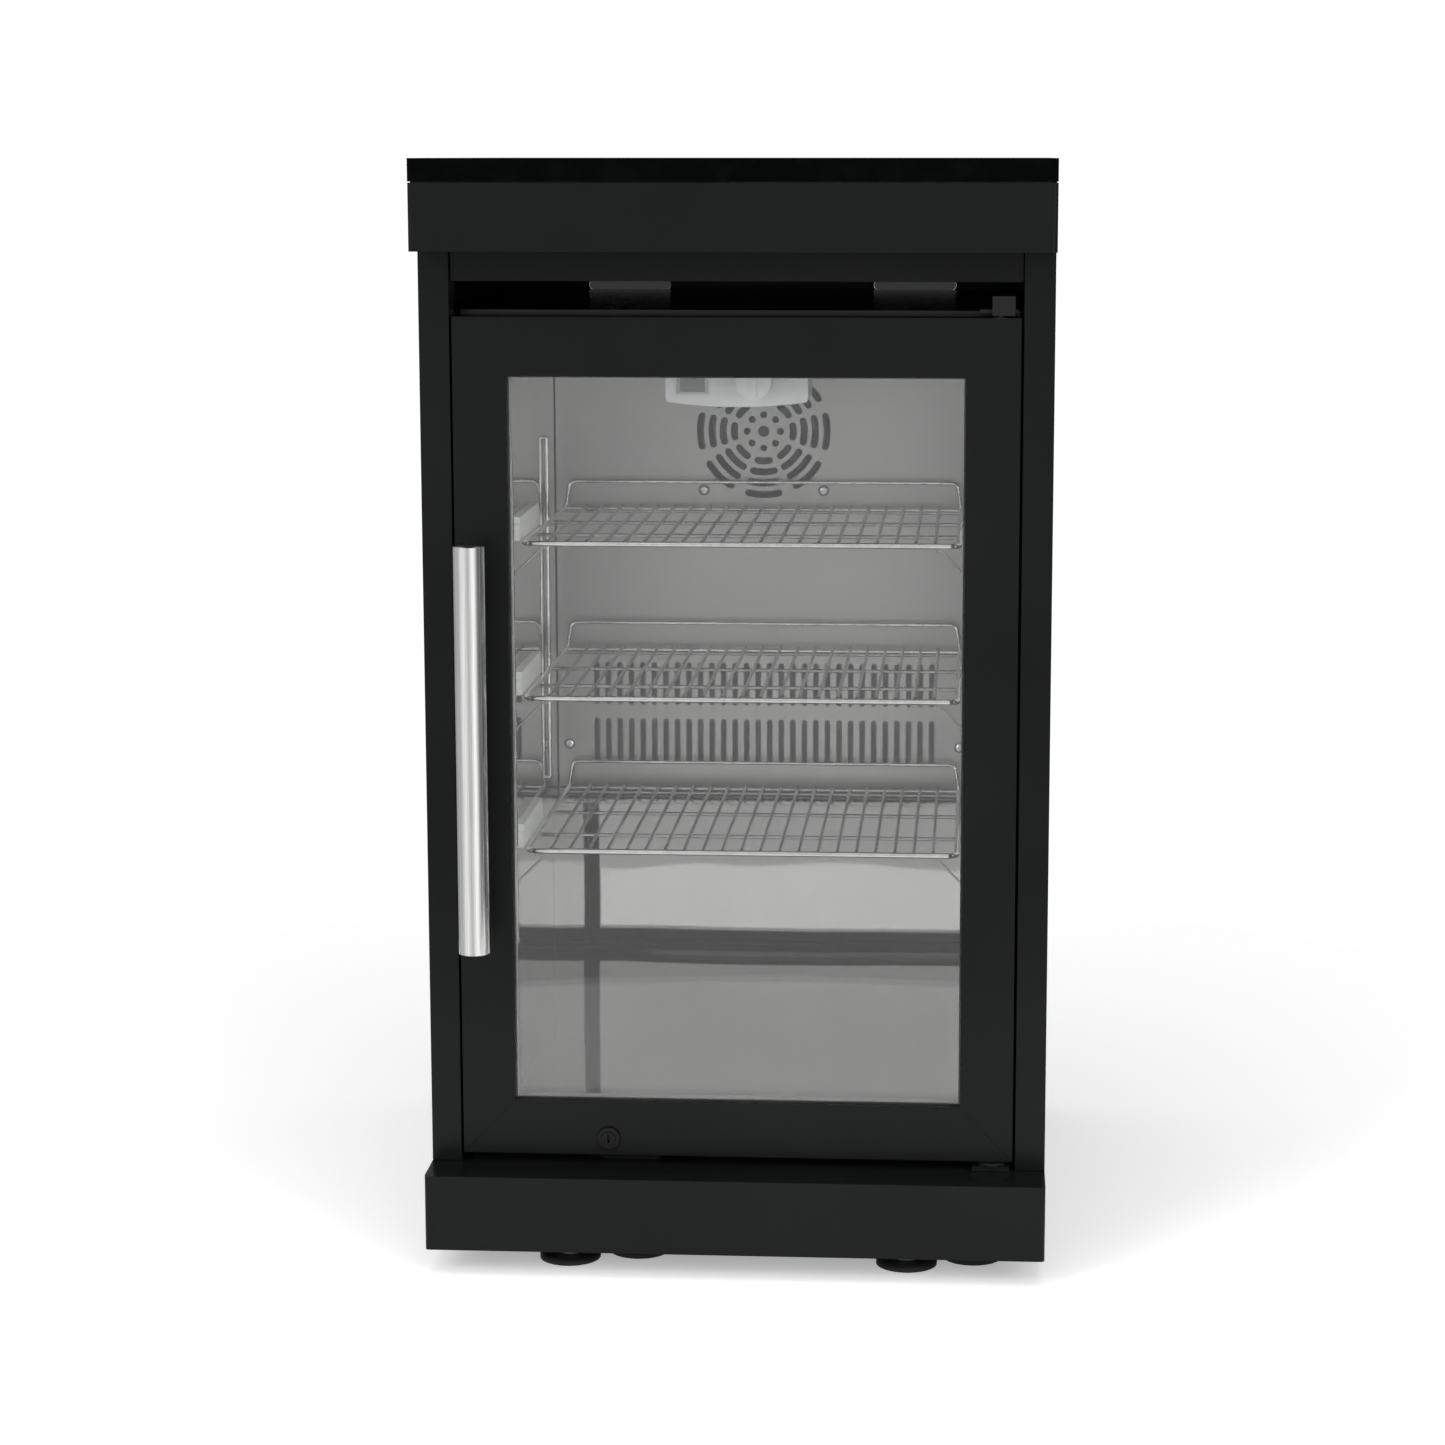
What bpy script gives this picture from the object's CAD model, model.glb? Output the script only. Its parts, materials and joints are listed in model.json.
import json
import math

import bmesh
import bpy
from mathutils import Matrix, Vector

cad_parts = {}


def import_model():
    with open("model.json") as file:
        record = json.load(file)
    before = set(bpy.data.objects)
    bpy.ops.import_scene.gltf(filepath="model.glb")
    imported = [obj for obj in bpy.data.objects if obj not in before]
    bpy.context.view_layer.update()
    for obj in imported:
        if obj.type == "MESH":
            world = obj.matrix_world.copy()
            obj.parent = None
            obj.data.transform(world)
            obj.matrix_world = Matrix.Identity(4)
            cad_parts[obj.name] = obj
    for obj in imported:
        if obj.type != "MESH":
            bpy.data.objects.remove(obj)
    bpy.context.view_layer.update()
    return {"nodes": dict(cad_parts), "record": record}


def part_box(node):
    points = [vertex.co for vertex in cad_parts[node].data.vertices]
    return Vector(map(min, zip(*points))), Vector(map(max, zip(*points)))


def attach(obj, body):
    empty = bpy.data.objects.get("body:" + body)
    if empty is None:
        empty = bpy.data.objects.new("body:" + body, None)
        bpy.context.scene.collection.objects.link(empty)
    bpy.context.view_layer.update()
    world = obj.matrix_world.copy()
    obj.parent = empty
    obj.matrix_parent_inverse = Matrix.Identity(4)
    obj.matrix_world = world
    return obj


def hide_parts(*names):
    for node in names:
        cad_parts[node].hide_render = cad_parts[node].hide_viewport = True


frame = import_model()
NODES = frame["nodes"]
SLOT_OF = {part["node"]: part["material_slot"] for part in frame["record"]["subparts"]}
SHELVES = ("shelf_top", "shelf_middle", "shelf_bottom")


# ---- node helpers ----
class Nodes:
    """A material's node tree, with short calls for the few nodes that the finishes share."""

    def __init__(self, name, colour, roughness, metallic=0.0, **sockets):
        self.material = bpy.data.materials.new(name)
        self.material.use_nodes = True
        self.tree = self.material.node_tree
        self.shader = self.tree.nodes["Principled BSDF"]
        self.shader.inputs["Base Color"].default_value = (*colour, 1.0)
        self.shader.inputs["Roughness"].default_value = roughness
        self.shader.inputs["Metallic"].default_value = metallic
        for socket, value in sockets.items():
            self.shader.inputs[socket.replace("_", " ")].default_value = value
        self.place = self.add("ShaderNodeTexCoord").outputs["Object"]

    def add(self, kind, **values):
        node = self.tree.nodes.new(kind)
        for key, value in values.items():
            setattr(node, key, value)
        return node

    def link(self, source, target):
        self.tree.links.new(source, target)

    def stretched(self, stretch):
        """Object coordinates, in metres, scaled along each axis."""
        mapping = self.add("ShaderNodeMapping")
        mapping.inputs["Scale"].default_value = stretch
        self.link(self.place, mapping.inputs["Vector"])
        return mapping.outputs["Vector"]

    def noise(self, scale, detail=3.0, stretch=(1, 1, 1)):
        node = self.add("ShaderNodeTexNoise")
        node.inputs["Scale"].default_value = scale
        node.inputs["Detail"].default_value = detail
        self.link(self.stretched(stretch), node.inputs["Vector"])
        return node.outputs["Fac"]

    def cells(self, scale):
        node = self.add("ShaderNodeTexVoronoi")
        node.inputs["Scale"].default_value = scale
        self.link(self.place, node.inputs["Vector"])
        return node.outputs["Distance"]

    def ranged(self, source, low, high, start=0.3, end=0.7):
        """Spreads start..end of a texture, where most of a noise lies, over low..high."""
        node = self.add("ShaderNodeMapRange")
        for socket, value in (("From Min", start), ("From Max", end), ("To Min", low), ("To Max", high)):
            node.inputs[socket].default_value = value
        self.link(source, node.inputs["Value"])
        return node.outputs["Result"]

    def mixed(self, factor, first, second):
        node = self.add("ShaderNodeMix", data_type="RGBA")
        self.link(factor, node.inputs["Factor"])
        for socket, colour in ((node.inputs[6], first), (node.inputs[7], second)):
            if isinstance(colour, tuple):
                socket.default_value = (*colour, 1.0)
            else:
                self.link(colour, socket)
        return node.outputs[2]

    def colour(self, source):
        self.link(source, self.shader.inputs["Base Color"])

    def roughness(self, source):
        self.link(source, self.shader.inputs["Roughness"])

    def bump(self, source, depth, strength):
        """Adds a bump over those that the shader already has."""
        node = self.add("ShaderNodeBump")
        node.inputs["Strength"].default_value = strength
        node.inputs["Distance"].default_value = depth
        self.link(source, node.inputs["Height"])
        before = self.shader.inputs["Normal"].links
        if before:
            self.link(before[0].from_socket, node.inputs["Normal"])
        self.link(node.outputs["Normal"], self.shader.inputs["Normal"])


# ---- finishes ----
def scaled(colour, factor, lift=0.0):
    return tuple(c * factor + lift for c in colour)


def powder_coat(name, colour, roughness, shine):
    """Satin powder coat on sheet metal: a fine orange peel over slow changes of tone."""
    n = Nodes(name, colour, roughness, Specular_IOR_Level=shine)
    slow = n.ranged(n.noise(5.0, 4.0), 0.0, 1.0)
    n.colour(n.mixed(slow, colour, scaled(colour, 1.35, 0.0006)))
    n.roughness(n.ranged(n.noise(60.0, 5.0), roughness - 0.015, roughness + 0.02))
    n.bump(n.noise(900.0, 2.0), 0.00006, 0.5)
    n.bump(n.noise(9.0, 2.0), 0.0004, 0.08)
    return n.material


def polished_stone(name):
    """Near-black engineered stone, polished, with fine mineral specks under the polish."""
    n = Nodes(name, (0.001, 0.0014, 0.0013), 0.07, Specular_IOR_Level=0.02)
    fine = n.ranged(n.cells(1500.0), 1.0, 0.0, 0.0, 0.16)
    coarse = n.ranged(n.cells(520.0), 1.0, 0.0, 0.0, 0.1)
    patches = n.ranged(n.noise(40.0), 0.0, 1.0, 0.45, 0.65)
    base = n.mixed(patches, (0.0008, 0.0011, 0.001), (0.0016, 0.002, 0.0019))
    specked = n.mixed(fine, base, (0.007, 0.008, 0.0078))
    n.colour(n.mixed(coarse, specked, (0.014, 0.0155, 0.015)))
    n.roughness(n.ranged(n.noise(30.0), 0.05, 0.1))
    return n.material


def brushed(name, colour, roughness, along, grain=0.00004):
    """Brushed or drawn metal. along is the axis that the grain runs along, grain its depth."""
    n = Nodes(name, colour, roughness, 1.0)
    streaks = n.noise(1400.0, 3.0, tuple(0.012 if axis == along else 1.0 for axis in "XYZ"))
    n.colour(n.mixed(n.ranged(streaks, 0.0, 1.0), scaled(colour, 0.82), colour))
    n.roughness(n.ranged(streaks, roughness - 0.07, roughness + 0.09))
    n.bump(streaks, grain, 0.6)
    return n.material


def polished_sheet(name, colour, roughness, wave):
    """Polished stainless sheet: soft reflections, bent by the slow waves of thin metal."""
    n = Nodes(name, colour, roughness, 1.0)
    tone = n.ranged(n.noise(4.0, 3.0, (1, 1, 0.4)), 0.0, 1.0)
    n.colour(n.mixed(tone, scaled(colour, 0.9), colour))
    n.roughness(n.ranged(n.noise(120.0, 2.0, (1, 1, 0.1)), roughness * 0.97, roughness * 1.04))
    n.bump(n.noise(6.0, 1.0), wave, 0.5)
    return n.material


def plated_wire(name, colour, roughness):
    """Chrome plated wire, a little uneven where the plating is thicker."""
    n = Nodes(name, colour, roughness, 1.0)
    n.colour(n.mixed(n.ranged(n.noise(90.0), 0.0, 1.0), scaled(colour, 0.85), colour))
    n.roughness(n.ranged(n.noise(300.0, 2.0), roughness - 0.04, roughness + 0.05))
    n.bump(n.noise(700.0, 2.0), 0.00001, 0.3)
    return n.material


def moulded(name, colour, roughness, shine=0.45):
    """Smooth plastic or painted metal with a fine, even texture."""
    n = Nodes(name, colour, roughness, Specular_IOR_Level=shine)
    n.colour(n.mixed(n.ranged(n.noise(25.0), 0.0, 1.0), scaled(colour, 0.93), colour))
    n.roughness(n.ranged(n.noise(400.0), roughness - 0.05, roughness + 0.05))
    n.bump(n.noise(1600.0, 2.0), 0.00004, 0.4)
    return n.material


def rubber(name):
    """Black rubber with a soft bloom."""
    colour = (0.008, 0.008, 0.008)
    n = Nodes(name, colour, 0.6, Specular_IOR_Level=0.3)
    n.colour(n.mixed(n.ranged(n.noise(45.0, 4.0), 0.0, 1.0), colour, scaled(colour, 2.0)))
    n.roughness(n.ranged(n.noise(120.0, 4.0), 0.5, 0.72))
    n.bump(n.noise(800.0), 0.00012, 0.5)
    return n.material


def front_strip(name):
    """Front edge of the casing: a bright steel flange round the opening, black beyond the seal."""
    n = Nodes(name, (0.4, 0.4, 0.4), 0.32, Specular_IOR_Level=0.5)
    low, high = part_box("door_gasket")
    middle, half = (low + high) / 2, (high - low) / 2
    split = n.add("ShaderNodeSeparateXYZ")
    n.link(n.place, split.inputs[0])
    blend = 0.0005
    reach = []
    for axis, centre, size in (("X", middle.x, half.x), ("Z", middle.z, half.z)):
        away = n.add("ShaderNodeMath", operation="SUBTRACT")
        away.inputs[1].default_value = centre
        n.link(split.outputs[axis], away.inputs[0])
        far = n.add("ShaderNodeMath", operation="ABSOLUTE")
        n.link(away.outputs[0], far.inputs[0])
        inner = size - GASKET_W
        reach.append(n.ranged(far.outputs[0], 0.0, 1.0, inner - blend, inner))
    edge = n.add("ShaderNodeMath", operation="MAXIMUM")
    n.link(reach[0], edge.inputs[0])
    n.link(reach[1], edge.inputs[1])
    steel = n.mixed(n.ranged(n.noise(40.0), 0.0, 1.0), (0.36, 0.36, 0.355), (0.42, 0.42, 0.415))
    n.colour(n.mixed(edge.outputs[0], steel, (0.003, 0.0034, 0.0034)))
    n.bump(n.noise(900.0, 2.0), 0.00004, 0.4)
    return n.material


def foam(name):
    """Cut polyurethane foam, cream coloured and full of small cells."""
    n = Nodes(name, (0.62, 0.55, 0.33), 0.85, Specular_IOR_Level=0.2)
    bubbles = n.cells(700.0)
    depth = n.ranged(bubbles, 0.0, 1.0, 0.0, 0.6)
    n.colour(n.mixed(depth, (0.38, 0.32, 0.17), (0.64, 0.57, 0.36)))
    n.bump(bubbles, 0.0006, 0.8)
    return n.material


def clear_glass(name):
    """Float glass. Lamps reach through it, so that what is behind the door is lit."""
    n = Nodes(name, (0.94, 0.945, 0.94), 0.0, Transmission_Weight=1.0, IOR=1.45)
    n.roughness(n.ranged(n.noise(35.0, 4.0), 0.0, 0.012, 0.45, 0.8))
    clear = n.add("ShaderNodeBsdfTransparent")
    clear.inputs["Color"].default_value = (0.91, 0.915, 0.91, 1.0)
    mix = n.add("ShaderNodeMixShader")
    n.link(n.add("ShaderNodeLightPath").outputs["Is Shadow Ray"], mix.inputs[0])
    n.link(n.shader.outputs[0], mix.inputs[1])
    n.link(clear.outputs[0], mix.inputs[2])
    n.link(mix.outputs[0], n.tree.nodes["Material Output"].inputs["Surface"])
    return n.material


def fine_screen(name):
    """Dark woven screen, which lets a little of the light behind it through."""
    n = Nodes(name, (0.12, 0.12, 0.12), 0.45, Transmission_Weight=1.0, IOR=1.1)
    weave = n.ranged(n.cells(900.0), 0.0, 1.0, 0.0, 0.6)
    n.colour(n.mixed(weave, (0.15, 0.15, 0.148), (0.1, 0.1, 0.1)))
    return n.material


# Width of the door seal, in metres
GASKET_W = 0.015
BLACK = (0.0046, 0.0051, 0.005)

# One finish for each material slot of the record. Colours are linear.
FINISHES = {
    "benchtop": polished_stone("polished_stone"),
    "panel_black": powder_coat("panel_black", BLACK, 0.24, 0.12),
    "door_black": powder_coat("door_black", BLACK, 0.3, 0.12),
    "hinge_black": powder_coat("hinge_black", (0.004, 0.0044, 0.0044), 0.34, 0.3),
    "rail_grey": powder_coat("rail_grey", (0.03, 0.031, 0.031), 0.5, 0.3),
    "casing_black": powder_coat("casing_black", (0.003, 0.0034, 0.0034), 0.16, 0.3),
    "rubber_black": rubber("rubber_black"),
    "zinc_steel": brushed("zinc_steel", (0.5, 0.5, 0.48), 0.35, "Z"),
    "galvanised": brushed("galvanised", (0.42, 0.43, 0.44), 0.42, "X"),
    "foam": foam("foam"),
    "liner_steel": polished_sheet("liner_steel", (0.525, 0.52, 0.518), 0.03, 0.0009),
    "back_sheet": moulded("back_sheet", (0.62, 0.61, 0.66), 0.7, 0.1),
    "breaker_plastic": front_strip("breaker_plastic"),
    "cover_steel": polished_sheet("cover_steel", (0.515, 0.512, 0.507), 0.34, 0.0003),
    "screw_steel": brushed("screw_steel", (0.85, 0.85, 0.85), 0.2, "Y"),
    "coil_aluminium": moulded("coil_aluminium", (0.6, 0.585, 0.63), 0.7, 0.1),
    "motor_grey": powder_coat("motor_grey", (0.21, 0.206, 0.23), 0.6, 0.1),
    "fan_plastic": moulded("fan_plastic", (0.3, 0.295, 0.325), 0.7, 0.08),
    "white_plastic": moulded("white_plastic", (0.86, 0.86, 0.89), 0.35),
    "display_plastic": moulded("display_plastic", (0.26, 0.26, 0.275), 0.12),
    "chrome_wire": plated_wire("chrome_wire", (0.88, 0.88, 0.875), 0.08),
    "clip_plastic": moulded("clip_plastic", (0.95, 0.95, 0.94), 0.45),
    "compressor_black": powder_coat("compressor_black", (0.006, 0.006, 0.007), 0.4, 0.4),
    "copper_pipe": brushed("copper_pipe", (0.72, 0.36, 0.2), 0.3, "X"),
    "tray_plastic": moulded("tray_plastic", (0.02, 0.02, 0.024), 0.5),
    "inlet_plastic": moulded("inlet_plastic", (0.012, 0.012, 0.012), 0.45),
    "clear_glass": clear_glass("clear_glass"),
    "spacer_aluminium": brushed("spacer_aluminium", (0.66, 0.66, 0.66), 0.35, "X"),
    "handle_steel": brushed("handle_steel", (0.72, 0.72, 0.715), 0.12, "Z", 0.000004),
    "lock_metal": brushed("lock_metal", (0.02, 0.02, 0.021), 0.3, "Y"),
    "bush_nylon": moulded("bush_nylon", (0.6, 0.6, 0.56), 0.4),
}

# Finishes of pieces and nodes that differ from the rest of their slot
SCREEN = fine_screen("screen_cloth")
DULL_WIRE = plated_wire("dull_wire", (0.46, 0.46, 0.46), 0.14)
OWN_FINISH = {"controller_knob": moulded("knob_plastic", (0.98, 0.98, 0.985), 0.28)}

# Edge radius in metres where sheet metal is folded or an edge is broken
EDGE = {
    "benchtop": 0.0022, "fascia": 0.0014, "side_panel_left": 0.001, "side_panel_right": 0.001,
    "base_tray": 0.0012, "top_rail": 0.0006, "back_panel": 0.0004, "door_rail_top": 0.0013,
    "door_rail_bottom": 0.0013, "door_stile_left": 0.0013, "door_stile_right": 0.0013,
    "controller_box": 0.003, "controller_knob": 0.003, "shelf_clips": 0.0035, "handle_caps": 0.0004,
    "hinge_bracket_top": 0.0006, "hinge_bracket_bottom": 0.0005, "lock_housing": 0.0005,
}


def finish_cad_nodes():
    """Gives each CAD node its finish, and breaks the edges of those in EDGE."""
    for name, node in NODES.items():
        node.data.materials.clear()
        node.data.materials.append(OWN_FINISH.get(name, FINISHES[SLOT_OF[name]]))
        weld = node.modifiers.new("weld", "WELD")
        weld.merge_threshold = 1e-6
        if name in EDGE:
            bevel = node.modifiers.new("edges", "BEVEL")
            bevel.width = EDGE[name]
            bevel.segments = 3
            bevel.limit_method = "ANGLE"
            bevel.angle_limit = math.radians(35)
            bevel.harden_normals = True


finish_cad_nodes()


# ---- building ----
def quads(build, rings, closed=True):
    """Joins each ring of points to the next with four-sided faces."""
    for first, second in zip(rings, rings[1:]):
        for k in range(len(first) if closed else len(first) - 1):
            j = (k + 1) % len(first)
            build.faces.new((first[k], first[j], second[j], second[k]))


def islands(node):
    """Boxes of the separate solids of a CAD node, as (lowest corner, highest corner)."""
    build = bmesh.new()
    build.from_mesh(NODES[node].data)
    bmesh.ops.remove_doubles(build, verts=build.verts, dist=1e-6)
    left, found = set(build.verts), []
    while left:
        group, front = set(), [left.pop()]
        while front:
            vert = front.pop()
            group.add(vert)
            for edge in vert.link_edges:
                other = edge.other_vert(vert)
                if other in left:
                    left.discard(other)
                    front.append(other)
        places = [v.co for v in group]
        found.append((Vector(min(p[i] for p in places) for i in range(3)),
                      Vector(max(p[i] for p in places) for i in range(3))))
    build.free()
    return sorted(found, key=lambda b: tuple(round(c, 4) for c in b[0]))


def piece(name, build, slot, body, replaced=(), smooth=40, finish=None):
    """Turns a finished bmesh into a piece that rides on a body, in its slot's finish or its own."""
    bmesh.ops.recalc_face_normals(build, faces=build.faces)
    mesh = bpy.data.meshes.new(name)
    build.to_mesh(mesh)
    build.free()
    thing = bpy.data.objects.new(name, mesh)
    bpy.context.scene.collection.objects.link(thing)
    mesh.materials.append(finish or FINISHES[slot])
    for face in mesh.polygons:
        face.use_smooth = smooth > 0
    if smooth:
        mesh.set_sharp_from_angle(angle=math.radians(smooth))
    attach(thing, body)
    if replaced:
        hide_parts(*replaced)
    return thing


# Share of a leg that the bend at one of its ends may use
LEG_USED = 0.49


def rounded(points, radius, steps=5):
    """The same route with each inner corner turned into an arc, smaller where a leg is short."""
    points = [Vector(p) for p in points]
    route = [points[0]]
    for before, corner, after in zip(points, points[1:], points[2:]):
        back, on = (before - corner), (after - corner)
        turn = back.angle(on)
        cut = min(radius / math.tan(turn / 2), LEG_USED * back.length, LEG_USED * on.length)
        bend = cut * math.tan(turn / 2)
        start, end = corner + back.normalized() * cut, corner + on.normalized() * cut
        middle = corner + (back.normalized() + on.normalized()).normalized() * (
            bend / math.sin(turn / 2))
        for i in range(steps + 1):
            spoke = (start - middle).lerp(end - middle, i / steps).normalized()
            route.append(middle + spoke * bend)
    route.append(points[-1])
    return route


def wire(build, points, diameter, bend=0.0, sides=10):
    """Round wire along a route, with closed ends."""
    route = rounded(points, bend) if bend else [Vector(p) for p in points]
    rings, side = [], None
    for i, here in enumerate(route):
        ahead = route[min(i + 1, len(route) - 1)] - route[max(i - 1, 0)]
        ahead.normalize()
        if side is None:
            side = ahead.orthogonal().normalized()
        side = (side - ahead * side.dot(ahead)).normalized()
        up = ahead.cross(side)
        rings.append([build.verts.new(here + (side * math.cos(a) + up * math.sin(a)) * diameter / 2)
                      for a in (2 * math.pi * k / sides for k in range(sides))])
    quads(build, rings)
    build.faces.new(reversed(rings[0]))
    build.faces.new(rings[-1])


# ---- shelves and their posts ----
# Wire diameters in metres: the shelf's frame, its raised lip, the wires along it and across it
FRAME_WIRE, LIP_WIRE, LONG_WIRE, CROSS_WIRE = 0.0052, 0.0035, 0.0036, 0.0034
CROSS_PITCH, CROSS_EACH_SIDE = 0.0176, 10
# From the sides, front, back and bottom of a CAD shelf's box to the middle line of its frame
FRAME_SIDE, FRAME_FRONT, FRAME_BACK, FRAME_BOTTOM = 0.004, 0.003, 0.0024, 0.00425
# How much lower than the frame the long wires are, and how much higher the cross wires
LONG_DROP, CROSS_LIFT = 0.0012, 0.0018


def shelf(name):
    """Chromed shelf: a bent frame, wires along and across it, and a raised lip at the back."""
    low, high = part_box(name)
    x, z = high.x - FRAME_SIDE, low.z + FRAME_BOTTOM
    front, back = low.y + FRAME_FRONT, high.y - FRAME_BACK
    build, grid = bmesh.new(), bmesh.new()
    wire(build, [(-x, back, z), (-x, front, z), (x, front, z), (x, back, z)], FRAME_WIRE, 0.008, 12)
    # One end of the lip: from the frame up to the lip's top, leaning in a little
    lip = [(-x, back - 0.004, z + 0.001), (-x, back, z + 0.001), (0.004 - x, back, high.z - 0.0018)]
    other_end = [(-across, y, up) for across, y, up in reversed(lip)]
    wire(build, lip + other_end, LIP_WIRE, 0.007)
    # Of the wires along the shelf, only the one at the back ends at the frame's middle line
    under, past = z - LONG_DROP, x + 0.0035
    wire(build, [(-x, back, under), (x, back, under)], LONG_WIRE)
    for y in (back - 0.022, front + 0.079, front + 0.183):
        wire(grid, [(-past, y, under), (past, y, under)], LONG_WIRE)
    # Wires across it lie on top, and bend down onto the front of the frame
    over = z + CROSS_LIFT
    for i in range(-CROSS_EACH_SIDE, CROSS_EACH_SIDE + 1):
        across = i * CROSS_PITCH
        wire(grid, [(across, back, over), (across, front + 0.0035, over), (across, front + 0.0012, z)],
             CROSS_WIRE, 0.003, 8)
    piece(name + "_wires", build, "chrome_wire", "cabinet", (name,))
    piece(name + "_grid", grid, "chrome_wire", "cabinet", finish=DULL_WIRE)


for shelf_name in SHELVES:
    shelf(shelf_name)

# Diameters of the posts and struts, and how far their middle lines are from the wall
POST_WIRE, STRUT_WIRE, POST_FROM_WALL, STRUT_FROM_WALL = 0.0042, 0.002, 0.0029, 0.0056
# From the CAD posts' box to the middle line of a post, sideways and at its ends
POST_SIDE, POST_END = 0.0022, 0.00215
# A strut's foot and bend, as depths under the middle line of a shelf's front rail, and its head
STRUT_FOOT, STRUT_BEND, STRUT_HEAD = 0.029, 0.026, 0.0042
# Distances from the middle of the cabinet between which a strut's head lies under the rail
HEAD_OUTER, HEAD_INNER = 0.181, 0.177


def posts():
    """Upright wires beside the shelves, bent into the wall at both ends, and the shelves' struts."""
    low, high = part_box("shelf_posts")
    top, wall = high.z - POST_END, high.x
    front, back = low.y + POST_SIDE, high.y - POST_SIDE
    build, struts = bmesh.new(), bmesh.new()
    for lowest, highest in islands("shelf_posts"):
        side = -1 if highest.x < 0 else 1
        y = front if lowest.y < (low.y + high.y) / 2 else back
        x, foot = side * (wall - POST_FROM_WALL), lowest.z + POST_END
        wire(build, [(side * wall, y, foot), (x, y, foot), (x, y, top), (side * wall, y, top)],
             POST_WIRE, 0.002)
    for side in (-1, 1):
        for name in SHELVES:
            # Front rail of the shelf, which a strut holds up from the post below it
            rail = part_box(name)[0] + Vector((0, FRAME_FRONT, FRAME_BOTTOM))
            x = side * (wall - STRUT_FROM_WALL)
            wire(struts, [(x, front, rail.z - STRUT_FOOT), (x, front, rail.z - STRUT_BEND),
                          (side * HEAD_OUTER, rail.y, rail.z - STRUT_HEAD),
                          (side * HEAD_INNER, rail.y, rail.z - STRUT_HEAD)], STRUT_WIRE, 0.003)
    piece("shelf_post_wires", build, "chrome_wire", "cabinet", ("shelf_posts",))
    piece("shelf_struts", struts, "chrome_wire", "cabinet", finish=DULL_WIRE)


posts()


# ---- seals, vents and screws ----
# Section of the door seal in millimetres: how far in from its outer edge, how far back from the door
SEAL = (
    (1.0, 0.0), (14.0, 0.0), (14.0, 1.2), (10.6, 2.1), (10.4, 3.2), (14.2, 4.3), (14.6, 5.0),
    (14.6, 8.4), (14.0, 9.0), (9.0, 9.2), (8.5, 8.9), (8.0, 9.2), (2.6, 9.0), (2.0, 8.4),
    (2.0, 6.2), (5.0, 4.6), (5.2, 3.4), (1.0, 2.2),
)


def seal():
    """Magnetic seal round the back of the door, with mitred corners."""
    low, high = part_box("door_gasket")
    build = bmesh.new()
    rings = []
    for sx, sz in ((-1, -1), (1, -1), (1, 1), (-1, 1)):
        ring = []
        for inward, back in SEAL:
            x = (high.x if sx > 0 else low.x) - sx * inward / 1000
            z = (high.z if sz > 0 else low.z) - sz * inward / 1000
            ring.append(build.verts.new((x, low.y + back / 1000, z)))
        rings.append(ring)
    quads(build, rings + rings[:1])
    piece("door_seal", build, "rubber_black", "door", ("door_gasket",), 30)


seal()

# Vents of the back panel: their distance from the middle of the cabinet and from the floor
VENT_X, TOP_VENT_Z, LOW_VENTS_Z = 0.1475, 0.872, (0.240, 0.210, 0.180)
# Half the distance between the round ends of a vent, and their radius less a hair
VENT_HALF, VENT_R = 0.037, 0.0054
# Hoods: width, top and lower edge from the vent's middle, and how far they stand out
HOOD_W, HOOD_TOP, HOOD_LIP, HOOD_DEPTH = 0.1, 0.0105, -0.009, 0.0068


def vent_hoods():
    """Pressed hood over each low vent, open along its lower edge, so that rain stays out."""
    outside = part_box("back_panel")[1].y + 0.0003
    columns, rows = 40, 8
    build = bmesh.new()
    for side in (-1, 1):
        for z in LOW_VENTS_Z:
            grid = []
            for i in range(columns + 1):
                across = 2 * i / columns - 1
                # Full depth over most of the width, falling away at both ends
                depth = HOOD_DEPTH * (1 - abs(across) ** 9) ** 0.7
                line = []
                for j in range(rows + 1):
                    turn = math.pi / 2 * j / rows
                    drop = HOOD_TOP + (HOOD_LIP - HOOD_TOP) * (1 - math.cos(turn))
                    line.append(build.verts.new((side * VENT_X + across * HOOD_W / 2,
                                                 outside + depth * math.sin(turn), z + drop)))
                grid.append(line)
            quads(build, grid, closed=False)
    hood = piece("vent_hoods", build, "panel_black", "cabinet", (), 50)
    sheet = hood.modifiers.new("thickness", "SOLIDIFY")
    sheet.thickness = 0.0005
    sheet.offset = 0.0


vent_hoods()


def vent_screens():
    """Fine dark screen in each of the two top vents."""
    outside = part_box("back_panel")[1].y
    build = bmesh.new()
    for side in (-1, 1):
        rings = []
        for y in (outside - 0.0007, outside - 0.0003):
            ring = []
            for end, start in ((1, -90), (-1, 90)):
                for degrees in range(0, 181, 15):
                    turn = math.radians(start + degrees)
                    ring.append(build.verts.new((
                        side * VENT_X + end * VENT_HALF + VENT_R * math.cos(turn), y,
                        TOP_VENT_Z + VENT_R * math.sin(turn))))
            rings.append(ring)
        quads(build, rings)
        for ring in rings:
            build.faces.new(ring)
    piece("vent_screens", build, "tray_plastic", "cabinet", (), 30, SCREEN)


vent_screens()


def bench_seal():
    """Bead of black sealant between the worktop and the cabinet under it."""
    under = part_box("benchtop")[0].z
    front, left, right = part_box("fascia"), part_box("side_panel_left"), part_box("side_panel_right")
    # The bead lies back from the outer faces, and fills the gap and a little more
    inset, squeeze = 0.003, 0.0012
    x0, x1 = min(front[0].x, left[0].x) + inset, max(front[1].x, right[1].x) - inset
    y0, y1 = front[0].y + inset, left[1].y - inset
    level = (under + front[1].z) / 2
    build = bmesh.new()
    wire(build, [(0, y0, level), (x0, y0, level), (x0, y1, level), (x1, y1, level), (x1, y0, level),
                 (0, y0, level)], 2 * (under - level) + squeeze, 0.003, 8)
    piece("bench_seal", build, "rubber_black", "cabinet")


bench_seal()

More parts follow.
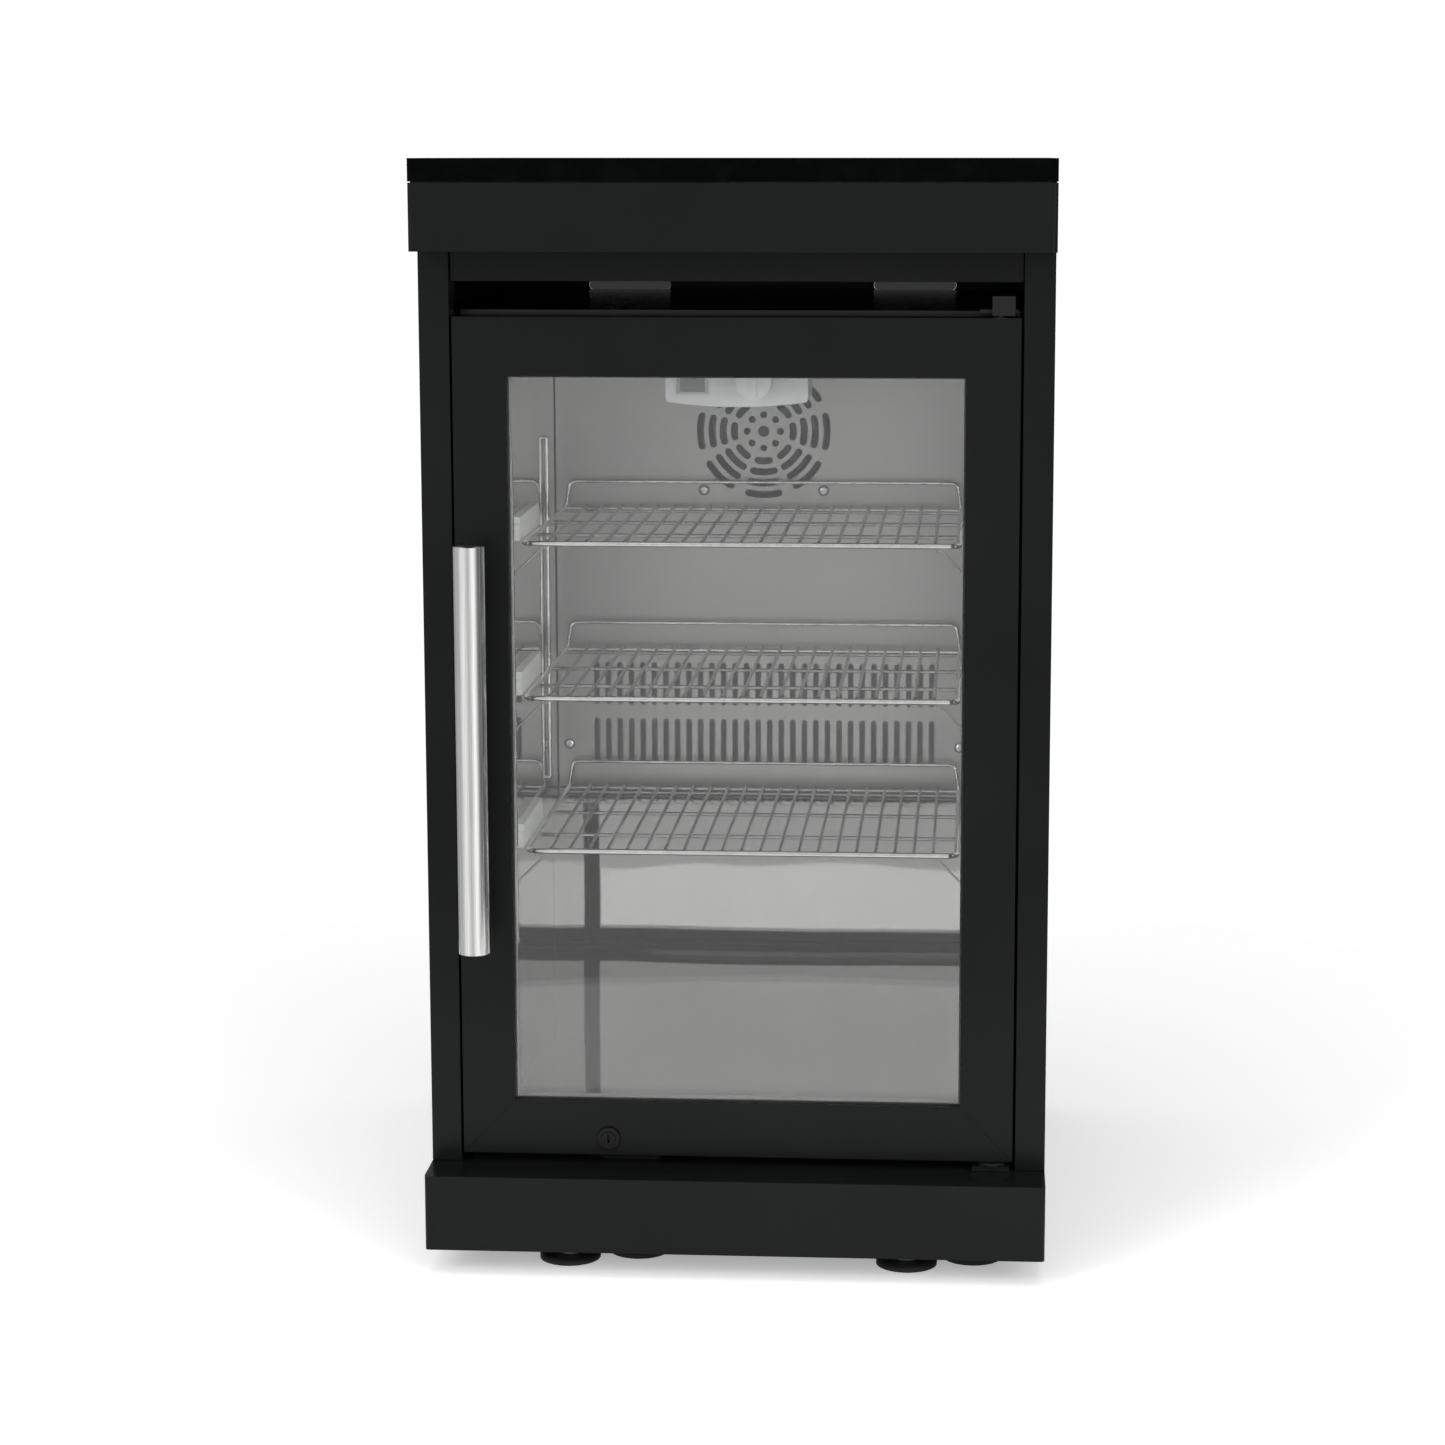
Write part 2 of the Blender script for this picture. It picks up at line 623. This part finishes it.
# Pan head from its flat to its rim, as shares of its radius and of its height
PAN_HEAD = ((0.35, 1.0), (0.72, 0.86), (0.93, 0.55), (1.0, 0.0))
# Cross recess: length and half width of an arm as shares of the radius, and how it narrows downwards
ARM, ARM_HALF, ARM_TAPER, RECESS_FLOOR = 0.33, 0.09, 0.7, 0.35


def screw_heads(name, node, slot, radius, height, heading, replaced):
    """Pan head screws with a cross recess. heading is +1 where the heads face the back."""
    sides = 24
    corners = []
    for q in range(4):
        a = q * math.pi / 2
        for along, aside in ((ARM_HALF, -ARM_HALF), (ARM, -ARM_HALF), (ARM, ARM_HALF)):
            corners.append((radius * (along * math.cos(a) - aside * math.sin(a)),
                            radius * (along * math.sin(a) + aside * math.cos(a))))
    build = bmesh.new()
    for lowest, highest in islands(node):
        centre = (lowest + highest) / 2
        seat = lowest.y if heading > 0 else highest.y
        rings = []
        for share, out in PAN_HEAD:
            rings.append([build.verts.new((
                centre.x + radius * share * math.cos(a), seat + heading * height * out,
                centre.z + radius * share * math.sin(a))) for a in (
                    2 * math.pi * k / sides for k in range(sides))])
        quads(build, rings)
        build.faces.new(rings[-1])
        # The cross sinks into the flat of the head
        top = [build.verts.new((centre.x + u, seat + heading * height, centre.z + v)) for u, v in corners]
        deep = [build.verts.new((centre.x + u * ARM_TAPER, seat + heading * height * RECESS_FLOOR,
                                 centre.z + v * ARM_TAPER)) for u, v in corners]
        quads(build, [top, deep])
        build.faces.new(deep)
        flat = rings[0]
        for k in range(12):
            near = 2 * k - 2
            build.faces.new((top[k], top[(k + 1) % 12], flat[(near + 1) % sides], flat[near % sides],
                             flat[(near - 1) % sides]))
    piece(name, build, slot, "cabinet", replaced, 30)


screw_heads("back_screw_heads", "back_panel_screws", "zinc_steel", 0.004, 0.0016, 1, ("back_panel_screws",))
screw_heads("cover_screw_heads", "cover_screws", "screw_steel", 0.0044, 0.002, -1, ("cover_screws",))
screw_heads("cover_screw_washers", "cover_screws", "motor_grey", 0.0056, 0.0005, -1, ())


def display():
    """Smoked window of the controller, sunk in a narrow pale frame."""
    low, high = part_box("controller_display")
    # A hair in front of the CAD window's face
    face = low.y - 0.0002

    def outline(build, inset, y):
        return [build.verts.new((x, y, z)) for x, z in (
            (low.x + inset, low.z + inset), (high.x - inset, low.z + inset),
            (high.x - inset, high.z - inset), (low.x + inset, high.z - inset))]

    build = bmesh.new()
    # Section of the frame: how far in from the window's edge, how far back from its face
    rings = [outline(build, inset, face + back) for inset, back in (
        (0.0008, 0.0014), (0.0008, -0.0002), (0.0012, -0.0006), (0.0024, -0.0006), (0.003, 0.0),
        (0.003, 0.0014))]
    quads(build, rings + rings[:1])
    piece("display_frame", build, "bush_nylon", "cabinet", (), 20)
    build = bmesh.new()
    rings = [outline(build, 0.0031, face + back) for back in (0.0007, 0.0013)]
    quads(build, rings)
    for ring in rings:
        build.faces.new(ring)
    piece("display_window", build, "display_plastic", "cabinet", ("controller_display",), 0)


display()


# ---- studio ----
# Radius in metres: a wider floor would show in the polished steel instead of the studio's walls
FLOOR_RADIUS = 1.25
# Strength of the studio's walls as light, of the white behind the object and of the floor's own glow
WALLS, BACKGROUND, FLOOR_GLOW = 1.4, 1.05, 0.35


def floor():
    """Pale floor that fades into the white background."""
    mesh = bpy.data.meshes.new("floor")
    build = bmesh.new()
    bmesh.ops.create_circle(build, cap_ends=True, segments=96, radius=FLOOR_RADIUS)
    build.to_mesh(mesh)
    build.free()
    plane = bpy.data.objects.new("floor", mesh)
    bpy.context.scene.collection.objects.link(plane)
    n = Nodes("floor_paint", (0.9, 0.9, 0.9), 0.7, Specular_IOR_Level=0.1)
    n.colour(n.mixed(n.noise(3.0), (0.895, 0.895, 0.895), (0.905, 0.905, 0.905)))
    n.shader.inputs["Emission Color"].default_value = (1, 1, 1, 1)
    n.shader.inputs["Emission Strength"].default_value = FLOOR_GLOW
    mesh.materials.append(n.material)


# Brightness of the studio's walls: degrees round from straight in front of the door, towards +X
STUDIO = (
    (-180, 0.22), (-120, 0.31), (-98, 0.43), (-81, 0.4), (-66, 0.56), (-50, 0.8), (-36, 0.82), (-24, 0.7),
    (-3, 0.49), (8, 0.55), (20, 0.78), (30, 1.0), (42, 0.98), (55, 0.58), (68, 0.22), (82, 0.12),
    (98, 0.24), (114, 0.22), (136, 0.1), (180, 0.22),
)


def world():
    """White to the eye; the light on the object comes from the studio's uneven walls."""
    scene_world = bpy.data.worlds.new("studio")
    bpy.context.scene.world = scene_world
    scene_world.use_nodes = True
    tree = scene_world.node_tree

    def add(kind, **values):
        node = tree.nodes.new(kind)
        for key, value in values.items():
            setattr(node, key, value)
        return node

    split = add("ShaderNodeSeparateXYZ")
    tree.links.new(add("ShaderNodeTexCoord").outputs["Generated"], split.inputs[0])
    forward = add("ShaderNodeMath", operation="MULTIPLY")
    forward.inputs[1].default_value = -1.0
    tree.links.new(split.outputs["Y"], forward.inputs[0])
    angle = add("ShaderNodeMath", operation="ARCTAN2")
    tree.links.new(split.outputs["X"], angle.inputs[0])
    tree.links.new(forward.outputs[0], angle.inputs[1])
    turn = add("ShaderNodeMapRange")
    turn.inputs["From Min"].default_value = -math.pi
    turn.inputs["From Max"].default_value = math.pi
    tree.links.new(angle.outputs[0], turn.inputs["Value"])
    ramp = add("ShaderNodeValToRGB")
    ramp.color_ramp.interpolation = "EASE"
    for i, (degrees, level) in enumerate(STUDIO):
        place = (degrees + 180) / 360
        stop = ramp.color_ramp.elements[i] if i < 2 else ramp.color_ramp.elements.new(place)
        stop.position = place
        stop.color = (level, level, level, 1.0)
    tree.links.new(turn.outputs[0], ramp.inputs[0])
    light = tree.nodes["Background"]
    light.inputs["Strength"].default_value = WALLS
    tree.links.new(ramp.outputs[0], light.inputs["Color"])
    seen = add("ShaderNodeBackground")
    seen.inputs["Color"].default_value = (1.0, 1.0, 1.0, 1.0)
    seen.inputs["Strength"].default_value = BACKGROUND
    mix = add("ShaderNodeMixShader")
    tree.links.new(add("ShaderNodeLightPath").outputs["Is Camera Ray"], mix.inputs[0])
    tree.links.new(light.outputs[0], mix.inputs[1])
    tree.links.new(seen.outputs[0], mix.inputs[2])
    tree.links.new(mix.outputs[0], tree.nodes["World Output"].inputs["Surface"])


def softbox(name, place, target, width, height, power):
    """Soft lamp that aims at a target, and isn't seen by the camera or in reflections."""
    lamp = bpy.data.lights.new(name, "AREA")
    lamp.shape = "RECTANGLE"
    lamp.size, lamp.size_y = width, height
    lamp.energy = power
    holder = bpy.data.objects.new(name, lamp)
    holder.location = place
    holder.rotation_mode = "QUATERNION"
    holder.rotation_quaternion = (Vector(target) - Vector(place)).to_track_quat("-Z", "Y")
    holder.visible_camera = False
    holder.visible_glossy = False
    bpy.context.scene.collection.objects.link(holder)


def camera():
    """Eye level with the worktop, a little right of centre, the view turned to the door."""
    right, away, above = 0.212, 2.85, 0.002
    down, turned = math.radians(8.91), math.radians(3.46)
    front_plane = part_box("side_panel_left")[0].y
    data = bpy.data.cameras.new("camera")
    data.sensor_width = 36.0
    data.lens = 80.9
    data.shift_x, data.shift_y = -0.04, -0.04
    data.clip_start, data.clip_end = 0.05, 100.0
    eye = bpy.data.objects.new("camera", data)
    eye.location = (right, front_plane - away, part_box("benchtop")[1].z + above)
    eye.rotation_euler = (math.pi / 2 - down, 0.0, turned)
    bpy.context.scene.collection.objects.link(eye)
    bpy.context.scene.camera = eye


floor()
world()
softbox("softbox_left", (-2.6, -3.4, 2.2), (0, 0, 0.6), 1.4, 2.2, 60)
softbox("softbox_right", (3.0, -3.0, 2.0), (0, 0, 0.6), 1.2, 2.2, 45)
softbox("softbox_top", (0.2, -0.6, 3.6), (0, 0, 0.5), 2.6, 2.6, 25)
camera()
bpy.context.scene.view_settings.view_transform = "Standard"
